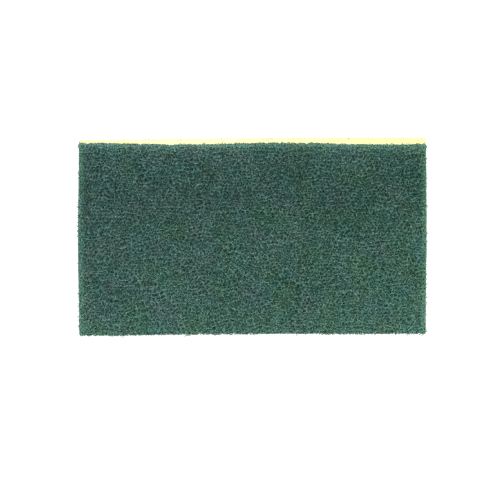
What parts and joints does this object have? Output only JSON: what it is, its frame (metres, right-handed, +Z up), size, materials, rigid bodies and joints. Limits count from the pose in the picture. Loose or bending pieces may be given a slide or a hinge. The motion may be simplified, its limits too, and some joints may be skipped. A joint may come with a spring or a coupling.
{
  "type": "sponge-backed scouring pad",
  "caption": "Flat rectangular green nonwoven nylon scouring pad bonded to a thicker yellow cellulose sponge of the same outline.",
  "frame": {"origin": "centre of the sponge's underside, on the surface that the pad lies on", "axes": "+Z up through the scouring face, +X along the pad's length, +Y across it to the back edge, which is the upper edge in the picture"},
  "size_m": [0.159, 0.0889, 0.018],
  "materials": {
    "green_nylon_web": "matt resin-coated nylon fibres in an open tangled web",
    "yellow_sponge": "matt open-pored cellulose"
  },
  "bodies": {
    "root": {"nylon_web": "green_nylon_web", "sponge": "yellow_sponge"}
  },
  "joints": []
}
